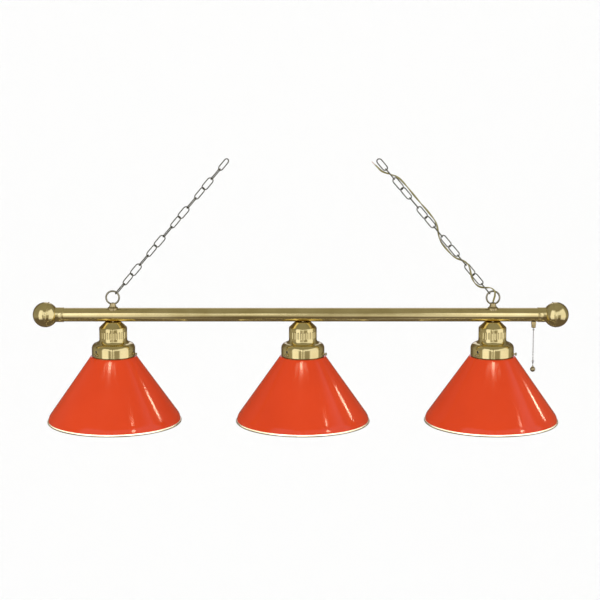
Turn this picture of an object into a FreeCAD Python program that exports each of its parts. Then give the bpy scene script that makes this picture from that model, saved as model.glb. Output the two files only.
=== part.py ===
"""Three-shade pool table lamp: a brass bar on two chains, with three cone shades.

Units are millimetres. X runs along the bar (+X is the pull-switch end), Y runs front (-) to back,
Z is up. The origin lies midway between the two ceiling hooks, at the height where the hooks bear
on the top chain links.
"""
import FreeCAD, Part
import math
import os

V = FreeCAD.Vector
X_AXIS = V(1, 0, 0)
Y_AXIS = V(0, 1, 0)
Z_AXIS = V(0, 0, 1)

# ---- driving dimensions ----
LAMP_SPACING = 504.0
LAMPS = {"left": -LAMP_SPACING, "middle": 0.0, "right": LAMP_SPACING}
SIDES = {"left": -1, "right": 1}

BAR_R = 18.25
BAR_WALL = 1.5
BALL_R = 33.5
BALL_X = {"left": -683.0, "right": 672.0}
BALL_WALL = 1.5
SLEEVE_R = 19.6
SLEEVE_LENGTH = 22.0
SEAM_R = 1.1
SEAM_OFFSET = 5.5
SEAM_TILT = 6.0
PLUG_LENGTH = 14.0
PLUG_REACH = 11.0
STUD_R = 4.8

CHAIN_ANGLE = 40.0
LINK_WIRE_R = 1.4
LINK_BEND_R = 7.85
LINK_HALF = 18.05
LINK_PITCH = 33.1
LINKS = 14
FIRST_LINK = 31.45
SWIVEL_GAP = 0.5
LINK_TWIST = 60.0
TWIST_START = {"left": -165.0, "right": -150.0}

RING_HEIGHT = 46.0
RING_R = 17.25
RING_WIRE_R = 2.25
LOOP_BORE_R = 4.5
LOOP_STUD_R = 6.4
LOOP_BASE_R = 14.0
LOOP_WAIST_R = 8.6
LOOP_TOP_R = 7.4
LOOP_TOP_Z = 31.8
LOOP_FLUTES = 12
LOOP_FLUTE_CENTRE_R = 13.4

HOLDER_WALL = 1.3
HOLDER_TOP = -18.4
SKIRT_R = 57.5
SKIRT_BOTTOM = -110.0
DRUM_R = 37.0
DRUM_INNER_R = 34.8
FLUTES = 28
FLUTE_R = 3.2
FLUTE_CENTRE_R = 39.2
FLUTE_LOW = -59.5
FLUTE_HIGH = -44.5
SCREW_ANGLES = (-17.0, -137.0, 103.0)
SCREW_Z = -103.0
SCREW_R = 2.05
SCREW_TIP = 51.1
SCREW_HEAD_R = 3.9
SCREW_HEAD_START = 62.0
SCREW_HEAD_END = 66.2
KNURL_GROOVES = 14
KNURL_R = 0.45
BOSS_R = 4.4
BOSS_START = 54.2
BOSS_LENGTH = 2.9
KEYHOLE_R = 2.2
KEYHOLE_Z = -95.6

SHADE_WALL = 1.0
NECK_R = 50.8
NECK_TOP = -99.6
LIP_R = 53.3
SHOULDER_R = 61.5
SHOULDER_Z = -112.0
SHOULDER_TOP = -111.6
RIM_R = 176.3
RIM_Z = -286.5
CONE_END_R = 171.6
CONE_END_Z = -270.0
RIM_BEAD_R = 3.2

SOCKET_R = 19.0
SOCKET_BOTTOM = -97.0
SHELL_R = 13.3
SHELL_WALL = 1.2
SHELL_THREADS = 6
THREAD_PITCH = 3.6
NIPPLE_R = 4.85
NIPPLE_BORE_R = 3.4
NIPPLE_TOP = -9.0

SWITCH_X = 613.0
SWITCH_THREAD_R = 4.8
STEM_R = 1.2
STEM_BOTTOM = -42.0
CHAIN_BEAD_R = 1.6
CHAIN_BEAD_PITCH = 4.2
CHAIN_WIRE_R = 0.45
UPPER_BEADS = 18
LOWER_BEADS = 2
CONNECTOR_LENGTH = 9.0
CONNECTOR_R = 2.7
PULL_BALL_R = 7.0
PULL_BALL_Z = -147.8

CORD_R = 2.5
BUSHING_PLAY = 0.7
FIT = 0.05

# ---- heights that follow from them ----
angle = math.radians(CHAIN_ANGLE)
HOOK_DISTANCE = FIRST_LINK + LINK_PITCH * (LINKS - 1) - SWIVEL_GAP + LINK_HALF - LINK_WIRE_R
BAR_Z = -HOOK_DISTANCE * math.cos(angle) - RING_HEIGHT
BAR_INNER_R = BAR_R - BAR_WALL
FIRST_BEAD = STEM_BOTTOM - 2.4
UPPER_START = FIRST_BEAD - CHAIN_BEAD_PITCH
CONNECTOR_TOP = UPPER_START - CHAIN_BEAD_PITCH * (UPPER_BEADS - 1) - 2.0
LOWER_START = CONNECTOR_TOP - CONNECTOR_LENGTH - 2.0

# The supply cord's route, from inside the bar up to the ceiling: distance along the right chain,
# distance to the chain's upper side, distance to the back.
CORD_ROUTE = [
    (-28.0, -23.6, 0.0),
    (-18.4, -15.5, 0.3),
    (-8.0, -6.7, -0.4),
    (0.0, 5.5, -4.2),
    (11.1, 15.6, -6.9),
    (25.6, 13.0, -4.8),
    (34.0, 0.4, 0.0),
    (45.5, -10.0, 0.2),
    (62.0, -13.2, -4.2),
    (80.5, -9.0, -9.4),
    (98.0, 1.0, -9.8),
    (114.5, 6.8, -4.6),
    (130.5, 0.8, 0.2),
    (147.0, -10.6, 1.0),
    (176.0, -12.6, -0.8),
    (208.0, -12.2, 0.8),
    (230.5, 0.2, 0.2),
    (252.0, 12.4, -0.8),
    (288.0, 13.6, 0.9),
    (330.0, 12.4, -0.9),
    (372.0, 13.2, 0.8),
    (408.0, 12.2, -0.6),
    (428.0, 0.2, -0.2),
    (447.5, -12.4, -0.8),
    (460.0, -13.2, -1.0),
    (472.0, -14.4, -0.6),
]
LEAD_LENGTH = 13.0
LEAD_R = 0.9
LEAD_OFFSET = 1.25
LEAD_GAP = 0.06

os.makedirs("parts", exist_ok=True)


def save(name, *solids):
    """Write one node's STEP file."""
    shape = solids[0] if len(solids) == 1 else Part.Compound(list(solids))
    shape.exportStep("parts/" + name + ".step")


def at(x, shape):
    """Move a shape built round the bar's axis at x = 0 to its place along the bar."""
    moved = shape.copy()
    moved.translate(V(x, 0, BAR_Z))
    return moved


def disc(radius, low, high, inner=0.0):
    """An upright cylinder or tube between two heights."""
    solid = Part.makeCylinder(radius, high - low, V(0, 0, low))
    if inner:
        solid = solid.cut(Part.makeCylinder(inner, high - low + 2, V(0, 0, low - 1)))
    return solid


def along_x(radius, start, end, inner=0.0):
    """A cylinder or tube lying along X."""
    solid = Part.makeCylinder(radius, end - start, V(start, 0, 0), X_AXIS)
    if inner:
        solid = solid.cut(Part.makeCylinder(inner, end - start + 2, V(start - 1, 0, 0), X_AXIS))
    return solid


def turned(points):
    """Turn a closed outline of (radius, height) points about Z."""
    outline = Part.makePolygon([V(r, 0, z) for r, z in points + points[:1]])
    return Part.Face(outline).revolve(V(0, 0, 0), Z_AXIS, 360)


def turned_edges(edges):
    """Turn a closed outline of straight and round edges about Z."""
    return Part.Face(Part.Wire(edges)).revolve(V(0, 0, 0), Z_AXIS, 360)


def arc(start, middle, end):
    """A round edge through three (radius, height) points."""
    places = [V(p[0], 0, p[1]) for p in (start, middle, end)]
    return Part.Arc(*places).toShape()


def line(start, end):
    """A straight edge between two (radius, height) points."""
    return Part.LineSegment(V(start[0], 0, start[1]), V(end[0], 0, end[1])).toShape()


def hexagon(across_flats, low, high, bore):
    """A hexagon nut on the Z axis."""
    corner = across_flats / math.sqrt(3)
    points = [V(corner * math.cos(math.radians(60 * i)), corner * math.sin(math.radians(60 * i)), low)
              for i in range(7)]
    body = Part.Face(Part.makePolygon(points)).extrude(V(0, 0, high - low))
    return body.cut(disc(bore, low - 1, high + 1))


# ---- bar ----
def sleeve_ends(side):
    """The inner and outer x of one end sleeve; the bar ends with the outer one."""
    reach = math.sqrt(BALL_R ** 2 - SLEEVE_R ** 2)
    outer = BALL_X[side] - SIDES[side] * reach
    return outer - SIDES[side] * SLEEVE_LENGTH, outer


def bar_tube():
    """The long tube, drilled for nipples, loops and switch."""
    tube = along_x(BAR_R, sleeve_ends("left")[1], sleeve_ends("right")[1], BAR_INNER_R)
    for x in LAMPS.values():
        tube = tube.cut(Part.makeCylinder(NIPPLE_R + FIT, 30, V(x, 0, -30)))
    for side in SIDES:
        tube = tube.cut(Part.makeCylinder(LOOP_STUD_R + FIT, 30, V(LAMPS[side], 0, 0)))
    return tube.cut(Part.makeCylinder(SWITCH_THREAD_R + FIT, 30, V(SWITCH_X, 0, -30)))


def finial_ball(side):
    """A hollow spun ball with a raised seam, flat where it meets its sleeve."""
    sign = SIDES[side]
    flat = math.sqrt(BALL_R ** 2 - SLEEVE_R ** 2)
    shell = Part.makeSphere(BALL_R)
    block = Part.makeBox(BALL_R, 2 * BALL_R, 2 * BALL_R, V(-flat - BALL_R, -BALL_R, -BALL_R))
    hollow = Part.makeSphere(BALL_R - BALL_WALL)
    inner_block = Part.makeBox(BALL_R, 2 * BALL_R, 2 * BALL_R,
                               V(-flat + BALL_WALL - BALL_R, -BALL_R, -BALL_R))
    shell = shell.cut(block).cut(hollow.cut(inner_block))
    shell = shell.cut(Part.makeCylinder(STUD_R + FIT, 2 * BALL_WALL, V(-flat - 1, 0, 0), X_AXIS))
    seam_r = math.sqrt(BALL_R ** 2 - SEAM_OFFSET ** 2)
    seam = Part.makeTorus(seam_r, SEAM_R, V(-SEAM_OFFSET, 0, 0), X_AXIS)
    seam.rotate(V(-SEAM_OFFSET, 0, 0), Y_AXIS, -SEAM_TILT)
    ball = shell.fuse(seam.cut(Part.makeSphere(BALL_R - 0.5 * BALL_WALL)))
    if sign < 0:
        ball = ball.mirror(V(0, 0, 0), X_AXIS)
    return at(BALL_X[side], ball)


def finial_plug(side):
    """The plug pressed into the bar's end, with the stud that the ball screws on."""
    sign = SIDES[side]
    end = sleeve_ends(side)[1]
    plug = Part.makeCylinder(BAR_INNER_R, PLUG_LENGTH, V(end, 0, 0), X_AXIS * -sign)
    stud = Part.makeCylinder(STUD_R, PLUG_REACH + PLUG_LENGTH, V(end + sign * PLUG_REACH, 0, 0), X_AXIS * -sign)
    return at(0, plug.fuse(stud))


def finial_sleeve(side):
    """The short collar between ball and tube, with a rounded inner edge."""
    inner, outer = sleeve_ends(side)
    sleeve = along_x(SLEEVE_R, min(inner, outer), max(inner, outer), BAR_R)
    edge = [e for e in sleeve.Edges if abs(e.CenterOfMass.x - inner) < 0.1 and e.Length > 6.28 * SLEEVE_R - 1]
    return at(0, sleeve.makeFillet(0.9, edge))


# ---- loops ----
def loop():
    """A cast eye ring on a flared, fluted neck, with a hollow stud below it."""
    waist_z = 25.0
    foot_z = 18.0
    profile = [
        line((0, 10), (LOOP_BASE_R, 10)),
        line((LOOP_BASE_R, 10), (LOOP_BASE_R, foot_z + 1.0)),
        arc((LOOP_BASE_R, foot_z + 1.0), (10.3, 21.2), (LOOP_WAIST_R, waist_z)),
        arc((LOOP_WAIST_R, waist_z), (7.9, 28.0), (LOOP_TOP_R, 30.6)),
        arc((LOOP_TOP_R, 30.6), (7.0, 31.5), (6.2, LOOP_TOP_Z)),
        line((6.2, LOOP_TOP_Z), (0, LOOP_TOP_Z)),
        line((0, LOOP_TOP_Z), (0, 10)),
    ]
    neck = turned_edges(profile)
    for i in range(LOOP_FLUTES):
        turn = math.radians((i + 0.5) * 360 / LOOP_FLUTES)
        place = V(LOOP_FLUTE_CENTRE_R * math.cos(turn), LOOP_FLUTE_CENTRE_R * math.sin(turn), foot_z)
        groove = Part.makeCone(1.6, 1.0, 9.5, place, V(-0.42 * math.cos(turn), -0.42 * math.sin(turn), 1))
        neck = neck.cut(groove)
    neck = neck.cut(along_x(BAR_R, -30, 30))
    ring = Part.makeTorus(RING_R, RING_WIRE_R, V(0, 0, RING_HEIGHT), Y_AXIS)
    stud = disc(LOOP_STUD_R, 7.5, 22.0)
    return neck.fuse(ring).fuse(stud).cut(disc(LOOP_BORE_R, 0, LOOP_TOP_Z + 3)).removeSplitter()


def cord_bushing():
    """The flanged plastic bushing in the mouth of the right loop's neck."""
    barrel = disc(LOOP_BORE_R, LOOP_TOP_Z - 6, LOOP_TOP_Z)
    flange = disc(5.6, LOOP_TOP_Z, LOOP_TOP_Z + 1.0)
    return barrel.fuse(flange).cut(disc(CORD_R + BUSHING_PLAY, LOOP_TOP_Z - 7, LOOP_TOP_Z + 2))


# ---- chains ----
def chain_place(side, s, n=0.0, y=0.0):
    """A point given along the chain, across it towards its upper side, and to the back."""
    sign = SIDES[side]
    x = LAMPS[side] + sign * (n * math.cos(angle) - s * math.sin(angle))
    return V(x, y, BAR_Z + RING_HEIGHT + s * math.cos(angle) + n * math.sin(angle))


def link_centre(number):
    """How far along its chain a link lies; the top one hangs free on its hook."""
    gap = SWIVEL_GAP if number == LINKS else 0.0
    return FIRST_LINK + LINK_PITCH * (number - 1) - gap


def link(side, number):
    """One oval link of round wire."""
    leg = LINK_HALF - LINK_BEND_R
    r = LINK_BEND_R
    path = Part.Wire([
        Part.LineSegment(V(r, 0, 0), V(r, 0, leg)).toShape(),
        Part.Arc(V(r, 0, leg), V(0, 0, leg + r), V(-r, 0, leg)).toShape(),
        Part.LineSegment(V(-r, 0, leg), V(-r, 0, -leg)).toShape(),
        Part.Arc(V(-r, 0, -leg), V(0, 0, -leg - r), V(r, 0, -leg)).toShape(),
        Part.LineSegment(V(r, 0, -leg), V(r, 0, 0)).toShape(),
    ])
    section = Part.Wire(Part.makeCircle(LINK_WIRE_R, V(r, 0, 0), Z_AXIS))
    body = path.makePipeShell([section], True, True)
    body.rotate(V(0, 0, 0), Z_AXIS, TWIST_START[side] + LINK_TWIST * number)
    body.rotate(V(0, 0, 0), Y_AXIS, -SIDES[side] * CHAIN_ANGLE)
    body.translate(chain_place(side, link_centre(number)))
    return body


# ---- supply cord ----
def rounded_path(points):
    """Straight runs joined by tangent arcs, each as large as its two runs allow."""
    edges = []
    radii = []
    start = points[0]
    for before, corner, after in zip(points, points[1:], points[2:]):
        into = (corner - before).normalize()
        out = (after - corner).normalize()
        turn = into.getAngle(out)
        reach = 0.45 * min((corner - before).Length, (after - corner).Length)
        radius = reach / math.tan(turn / 2)
        radii.append(round(radius, 1))
        arc_start = corner - into * reach
        arc_end = corner + out * reach
        inward = (out - into).normalize()
        middle = corner + inward * (radius / math.cos(turn / 2) - radius)
        edges.append(Part.LineSegment(start, arc_start).toShape())
        edges.append(Part.Arc(arc_start, middle, arc_end).toShape())
        start = arc_end
    edges.append(Part.LineSegment(start, points[-1]).toShape())
    return Part.Wire(edges), radii


def round_tube(points, radius):
    """A round tube along a rounded path."""
    path, radii = rounded_path(points)
    first = (points[1] - points[0]).normalize()
    section = Part.Wire(Part.makeCircle(radius, points[0], first))
    tube = path.makePipeShell([section], True, True)
    return tube, path.Length, radii


def power_cord():
    """The supply cord, woven through the right chain and down into the bar."""
    points = [chain_place("right", s, n, y) for s, n, y in CORD_ROUTE]
    tube, length, radii = round_tube(points, CORD_R)
    expected = math.pi * CORD_R ** 2 * length
    print("cord radii", radii)
    print("cord length", round(length, 1), "volume ratio", round(tube.Volume / expected, 4))
    return tube


def cord_leads():
    """The two stripped conductors past the cord's upper end."""
    end = chain_place("right", *CORD_ROUTE[-1])
    along = (end - chain_place("right", *CORD_ROUTE[-2])).normalize()
    leads = []
    for sign in (-1, 1):
        start = end + along * LEAD_GAP + Y_AXIS * (sign * LEAD_OFFSET)
        leads.append(Part.makeCylinder(LEAD_R, LEAD_LENGTH, start, along))
    return leads


# ---- lamp holder ----
def holder():
    """The pressed brass cap: cone, fluted drum, flare and skirt, with screw bosses."""
    drum_top = -36.5
    drum_bottom = -67.0
    skirt_top = -89.0
    w = HOLDER_WALL
    outer = turned_edges([
        line((0, HOLDER_TOP), (19.0, HOLDER_TOP)),
        arc((19.0, HOLDER_TOP), (21.0, -18.9), (22.4, -20.0)),
        line((22.4, -20.0), (34.0, -31.2)),
        arc((34.0, -31.2), (36.2, -33.4), (DRUM_R, drum_top)),
        line((DRUM_R, drum_top), (DRUM_R, drum_bottom)),
        arc((DRUM_R, drum_bottom), (39.6, -71.8), (44.8, -75.4)),
        arc((44.8, -75.4), (54.2, -80.4), (SKIRT_R, skirt_top)),
        line((SKIRT_R, skirt_top), (SKIRT_R, SKIRT_BOTTOM)),
        line((SKIRT_R, SKIRT_BOTTOM), (0, SKIRT_BOTTOM)),
        line((0, SKIRT_BOTTOM), (0, HOLDER_TOP)),
    ])
    inner = turned_edges([
        line((0, HOLDER_TOP - w), (19.0, HOLDER_TOP - w)),
        arc((19.0, HOLDER_TOP - w), (20.4, -20.1), (21.5, -21.0)),
        line((21.5, -21.0), (33.1, -32.2)),
        arc((33.1, -32.2), (34.9, -34.0), (DRUM_INNER_R, drum_top)),
        line((DRUM_INNER_R, drum_top), (DRUM_INNER_R, drum_bottom)),
        arc((DRUM_INNER_R, drum_bottom), (38.2, -72.9), (44.0, -76.6)),
        arc((44.0, -76.6), (53.1, -81.4), (SKIRT_R - w, skirt_top)),
        line((SKIRT_R - w, skirt_top), (SKIRT_R - w, SKIRT_BOTTOM - 5)),
        line((SKIRT_R - w, SKIRT_BOTTOM - 5), (0, SKIRT_BOTTOM - 5)),
        line((0, SKIRT_BOTTOM - 5), (0, HOLDER_TOP - w)),
    ])
    shell = outer.cut(inner)
    for i in range(FLUTES):
        turn = 360.0 * (i + 0.5) / FLUTES
        low = V(FLUTE_CENTRE_R, 0, FLUTE_LOW)
        high = V(FLUTE_CENTRE_R, 0, FLUTE_HIGH)
        groove = Part.makeCylinder(FLUTE_R, FLUTE_HIGH - FLUTE_LOW, low)
        groove = groove.fuse([Part.makeSphere(FLUTE_R, low), Part.makeSphere(FLUTE_R, high)])
        groove.rotate(V(0, 0, 0), Z_AXIS, turn)
        shell = shell.cut(groove)
    for turn in SCREW_ANGLES:
        boss = Part.makeCylinder(BOSS_R, BOSS_LENGTH, V(BOSS_START, 0, SCREW_Z), X_AXIS)
        hole = Part.makeCylinder(SCREW_R + FIT, 12.0, V(50, 0, SCREW_Z), X_AXIS)
        keyhole = Part.makeCylinder(KEYHOLE_R, 12.0, V(50, 0, KEYHOLE_Z), X_AXIS)
        for shape in (boss, hole, keyhole):
            shape.rotate(V(0, 0, 0), Z_AXIS, turn)
        shell = shell.fuse(boss).cut(hole).cut(keyhole)
    return shell.cut(disc(NIPPLE_R + FIT, -30, 0)).removeSplitter()


def thumbscrew(turn):
    """A thumbscrew with a knurled head, its tip under the shade's lip."""
    shank = Part.makeCylinder(SCREW_R, SCREW_HEAD_START - SCREW_TIP, V(SCREW_TIP, 0, SCREW_Z), X_AXIS)
    head = Part.makeCylinder(SCREW_HEAD_R, SCREW_HEAD_END - SCREW_HEAD_START, V(SCREW_HEAD_START, 0, SCREW_Z),
                             X_AXIS)
    rims = [e for e in head.Edges if e.Length > 20]
    head = head.makeChamfer(0.5, rims)
    ring = SCREW_HEAD_R + 0.15
    for i in range(KNURL_GROOVES):
        spin = math.radians(360 * i / KNURL_GROOVES)
        start = V(SCREW_HEAD_START - 1, ring * math.cos(spin), SCREW_Z + ring * math.sin(spin))
        groove = Part.makeCylinder(KNURL_R, SCREW_HEAD_END - SCREW_HEAD_START + 2, start, X_AXIS)
        head = head.cut(groove)
    screw = shank.fuse(head)
    screw.rotate(V(0, 0, 0), Z_AXIS, turn)
    return screw


# ---- shade ----
def shade_neck():
    """The shade's upright neck and the lip that hangs on the thumbscrews."""
    inner = NECK_R - SHADE_WALL
    lip = disc(LIP_R, NECK_TOP - SHADE_WALL, NECK_TOP, inner)
    neck = disc(NECK_R, SHOULDER_TOP, NECK_TOP - SHADE_WALL, inner)
    return lip, neck


def shade():
    """The spun metal cone below the neck, with its flat shoulder."""
    w = SHADE_WALL
    slope = math.atan2(CONE_END_R - SHOULDER_R, SHOULDER_Z - 1.0 - CONE_END_Z)
    dx = w / math.cos(slope)
    profile = [
        line((NECK_R - w, SHOULDER_TOP), (SHOULDER_R - 1.2, SHOULDER_TOP)),
        line((SHOULDER_R - 1.2, SHOULDER_TOP), (SHOULDER_R, SHOULDER_Z - 0.6)),
        line((SHOULDER_R, SHOULDER_Z - 0.6), (CONE_END_R, CONE_END_Z)),
        arc((CONE_END_R, CONE_END_Z), (175.2, -276.7), (RIM_R, RIM_Z)),
        line((RIM_R, RIM_Z), (RIM_R - w, RIM_Z)),
        arc((RIM_R - w, RIM_Z), (174.2, -277.0), (CONE_END_R - dx * 0.86, CONE_END_Z - 0.4)),
        line((CONE_END_R - dx * 0.86, CONE_END_Z - 0.4), (SHOULDER_R - 1.5, SHOULDER_Z - 0.6)),
        line((SHOULDER_R - 1.5, SHOULDER_Z - 0.6), (NECK_R - w, SHOULDER_Z - 0.6)),
        line((NECK_R - w, SHOULDER_Z - 0.6), (NECK_R - w, SHOULDER_TOP)),
    ]
    return turned_edges(profile)


def rim_trim(cone):
    """The polished brass bead rolled round the shade's lower edge."""
    bead = Part.makeTorus(RIM_R - 0.5 * SHADE_WALL, RIM_BEAD_R, V(0, 0, RIM_Z - 1.0), Z_AXIS)
    return bead.cut(cone)


# ---- socket ----
def nipple():
    """The threaded tube that joins bar, holder and socket."""
    return disc(NIPPLE_R, -44.0, NIPPLE_TOP, NIPPLE_BORE_R)


def nipple_locknut():
    """The nut inside the bar, on top of the nipple."""
    return hexagon(14.0, -14.3, -11.3, NIPPLE_R)


def socket():
    """The socket's insulating body: a domed cap over a sleeve round the screw shell."""
    outer = turned_edges([
        line((0, -38.0), (9.0, -38.0)),
        line((9.0, -38.0), (9.0, -42.0)),
        arc((9.0, -42.0), (16.3, -45.0), (SOCKET_R, -52.0)),
        line((SOCKET_R, -52.0), (SOCKET_R, SOCKET_BOTTOM)),
        line((SOCKET_R, SOCKET_BOTTOM), (0, SOCKET_BOTTOM)),
        line((0, SOCKET_BOTTOM), (0, -38.0)),
    ])
    hollow = disc(SHELL_R + SHELL_WALL, SOCKET_BOTTOM - 1, -62.0)
    seat = disc(NIPPLE_R, -44.0, -37.0)
    wires = disc(NIPPLE_BORE_R, -50.0, -43.0)
    return outer.cut(hollow).cut(seat).cut(wires)


def screw_shell():
    """The threaded brass sleeve that takes the bulb, open at both ends."""
    shell = disc(SHELL_R + SHELL_WALL, -94.0, -66.0, SHELL_R)
    for i in range(SHELL_THREADS):
        bead = Part.makeTorus(SHELL_R + SHELL_WALL + 0.15, 0.7, V(0, 0, -70.0 - THREAD_PITCH * i), Z_AXIS)
        shell = shell.cut(bead)
    return shell


def centre_contact():
    """The sprung tongue's button at the top of the socket."""
    return disc(4.5, -63.2, -62.0).fuse(disc(2.6, -64.4, -63.2))


# ---- pull switch ----
def switch_body():
    """The switch's case, inside the bar."""
    case = Part.makeBox(26, 16, 14, V(-13, -8, -12.5))
    return case.cut(disc(SWITCH_THREAD_R, -14, -9.5)).cut(disc(STEM_R + 0.5, -10, -5))


def switch_bushing():
    """The threaded bushing and its two-step nut below the bar."""
    thread = disc(SWITCH_THREAD_R, -20.0, -9.5)
    wide = hexagon(12.6, -26.5, HOLDER_TOP, 1.0).common(disc(6.95, -27, HOLDER_TOP + 1))
    collar = turned([(0, -26.5), (5.4, -26.5), (5.4, -32.5), (4.2, -35.5), (0, -35.5)])
    return thread.fuse([wide, collar]).cut(disc(STEM_R + 0.08, -40, 0)).cut(disc(1.5, -27, -17))


def pull_stem():
    """The sliding stem that works the switch, with a bell at its lower end."""
    bell = turned([(0, -38.0), (1.4, -38.0), (2.4, -39.6), (2.4, STEM_BOTTOM), (0, STEM_BOTTOM)])
    return disc(STEM_R, STEM_BOTTOM + 2, -9.6).fuse(bell)


def bead_string(first, count):
    """Beads on a fine wire, hanging down from the first one."""
    heights = [first - CHAIN_BEAD_PITCH * i for i in range(count)]
    string = disc(CHAIN_WIRE_R, heights[-1], first)
    return string.fuse([Part.makeSphere(CHAIN_BEAD_R, V(0, 0, z)) for z in heights])


def pull_connector():
    """The bell-shaped coupling between the two lengths of bead chain."""
    top = CONNECTOR_TOP
    bottom = top - CONNECTOR_LENGTH
    return turned([(0, top), (1.3, top), (CONNECTOR_R, top - 2.6), (CONNECTOR_R, bottom + 2.6), (1.3, bottom),
                   (0, bottom)])


def pull_ball():
    """The brass ball at the end of the pull chain, with a small neck."""
    neck_top = PULL_BALL_Z + 9.0
    neck = turned([(0, PULL_BALL_Z), (2.6, PULL_BALL_Z), (2.6, neck_top - 1.2), (1.8, neck_top), (0, neck_top)])
    return Part.makeSphere(PULL_BALL_R, V(0, 0, PULL_BALL_Z)).fuse(neck)


# ---- wiring ----
def wiring_harness():
    """Two long conductors in the bar and a pair down into each socket."""
    pieces = []
    for y in (-2.2, 2.2):
        feed = Part.makeCylinder(1.2, SWITCH_X - 14 + LAMP_SPACING, V(-LAMP_SPACING, y, -1.0), X_AXIS)
        pieces.append(at(0, feed))
        for x in LAMPS.values():
            drop = Part.makeCylinder(1.1, 46.0, V(0, 0.82 * y, -49.0))
            pieces.append(at(x, drop))
    return pieces


def wire_nuts():
    """The two twist-on connectors near the switch."""
    nuts = []
    for y in (-6.0, 6.0):
        nut = Part.makeCone(4.6, 3.0, 18.0, V(555.0, y, 6.5), X_AXIS)
        nuts.append(at(0, nut))
    return nuts


# ---- write every node ----
save("bar_tube", at(0, bar_tube()))
for side in SIDES:
    save("finial_ball_" + side, finial_ball(side))
    save("finial_plug_" + side, finial_plug(side))
    save("finial_sleeve_" + side, finial_sleeve(side))
    save("loop_" + side, at(LAMPS[side], loop()))
    save("top_link_" + side, link(side, LINKS))
    save("chain_" + side, *[link(side, number) for number in range(1, LINKS)])
save("loop_locknuts", *[at(LAMPS[side], hexagon(16.6, 9.2, 12.6, LOOP_STUD_R)) for side in SIDES])
save("cord_bushing", at(LAMPS["right"], cord_bushing()))
save("power_cord", power_cord())
save("cord_leads", *cord_leads())

holder_shape = holder()
shade_shape = shade()
trim_shape = rim_trim(shade_shape)
for lamp, x in LAMPS.items():
    save("holder_" + lamp, at(x, holder_shape))
    save("socket_" + lamp, at(x, socket()))
    save("screw_shell_" + lamp, at(x, screw_shell()))
    save("nipple_" + lamp, at(x, nipple()))
    save("shade_" + lamp, at(x, shade_shape))
    save("shade_neck_" + lamp, *[at(x, ring) for ring in shade_neck()])
    save("rim_trim_" + lamp, at(x, trim_shape))
    for number, turn in enumerate(SCREW_ANGLES, 1):
        save("thumbscrew_%s_%d" % (lamp, number), at(x, thumbscrew(turn)))
save("nipple_locknuts", *[at(x, nipple_locknut()) for x in LAMPS.values()])
save("centre_contacts", *[at(x, centre_contact()) for x in LAMPS.values()])

save("switch_body", at(SWITCH_X, switch_body()))
save("switch_bushing", at(SWITCH_X, switch_bushing()))
save("pull_stem", at(SWITCH_X, pull_stem()))
save("pull_bead", at(SWITCH_X, Part.makeSphere(CHAIN_BEAD_R, V(0, 0, FIRST_BEAD))))
save("pull_chain", at(SWITCH_X, bead_string(UPPER_START, UPPER_BEADS)))
save("pull_connector", at(SWITCH_X, pull_connector()))
save("pull_chain_end", at(SWITCH_X, bead_string(LOWER_START, LOWER_BEADS)))
save("pull_ball", at(SWITCH_X, pull_ball()))
save("wiring_harness", *wiring_harness())
save("wire_nuts", *wire_nuts())
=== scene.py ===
"""Three-shade pool table lamp: the looks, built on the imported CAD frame.

Units are metres. X runs along the bar, -Y is the front, Z is up; the origin is midway between the
two ceiling hooks.
"""
import math

import bmesh
import bpy
from mathutils import Matrix, Vector


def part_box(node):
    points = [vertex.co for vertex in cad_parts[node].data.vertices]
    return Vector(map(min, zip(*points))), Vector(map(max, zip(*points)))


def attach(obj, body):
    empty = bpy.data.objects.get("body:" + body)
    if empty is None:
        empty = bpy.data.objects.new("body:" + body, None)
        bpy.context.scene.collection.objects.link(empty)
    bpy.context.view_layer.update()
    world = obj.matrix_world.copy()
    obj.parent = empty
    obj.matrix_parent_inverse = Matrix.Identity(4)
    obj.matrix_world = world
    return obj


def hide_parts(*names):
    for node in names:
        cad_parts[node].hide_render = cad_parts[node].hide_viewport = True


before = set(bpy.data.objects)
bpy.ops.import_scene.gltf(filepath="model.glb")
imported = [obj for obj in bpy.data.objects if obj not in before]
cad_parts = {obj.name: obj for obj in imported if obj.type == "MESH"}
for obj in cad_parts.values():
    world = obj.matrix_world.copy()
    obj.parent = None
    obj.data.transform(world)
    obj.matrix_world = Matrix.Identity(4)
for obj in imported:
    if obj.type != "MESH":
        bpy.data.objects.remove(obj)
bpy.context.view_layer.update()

# ---- places and sizes, read from the frame ----
LAMPS = ("left", "middle", "right")
SIDES = {"left": -1, "right": 1}
MM = 0.001

bar_low, bar_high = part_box("bar_tube")
BAR_R = (bar_high.z - bar_low.z) / 2
BAR_Z = (bar_high.z + bar_low.z) / 2


def middle_of(node):
    """The middle of a node's box."""
    low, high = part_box(node)
    return (low + high) / 2


LAMP_X = {lamp: middle_of("nipple_" + lamp).x for lamp in LAMPS}
RING_RISE = 46 * MM
RING_Z = BAR_Z + RING_RISE
CHAIN_ANGLE = math.radians(40)


def on_bar(x):
    """The upright frame on the bar's axis at x."""
    return Matrix.Translation((x, 0, BAR_Z))


def in_mm(points):
    """Points listed in mm, turned into metres."""
    return [tuple(value * MM for value in point) for point in points]


# ---- mesh helpers ----
def finish_mesh(bm, name, materials, sharp):
    """Turn a bmesh into a smooth mesh; edges that turn by more than sharp degrees stay sharp."""
    bmesh.ops.recalc_face_normals(bm, faces=bm.faces)
    mesh = bpy.data.meshes.new(name)
    bm.to_mesh(mesh)
    bm.free()
    mesh.shade_smooth()
    mesh.set_sharp_from_angle(angle=math.radians(sharp))
    for material in materials:
        mesh.materials.append(material)
    return mesh


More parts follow.
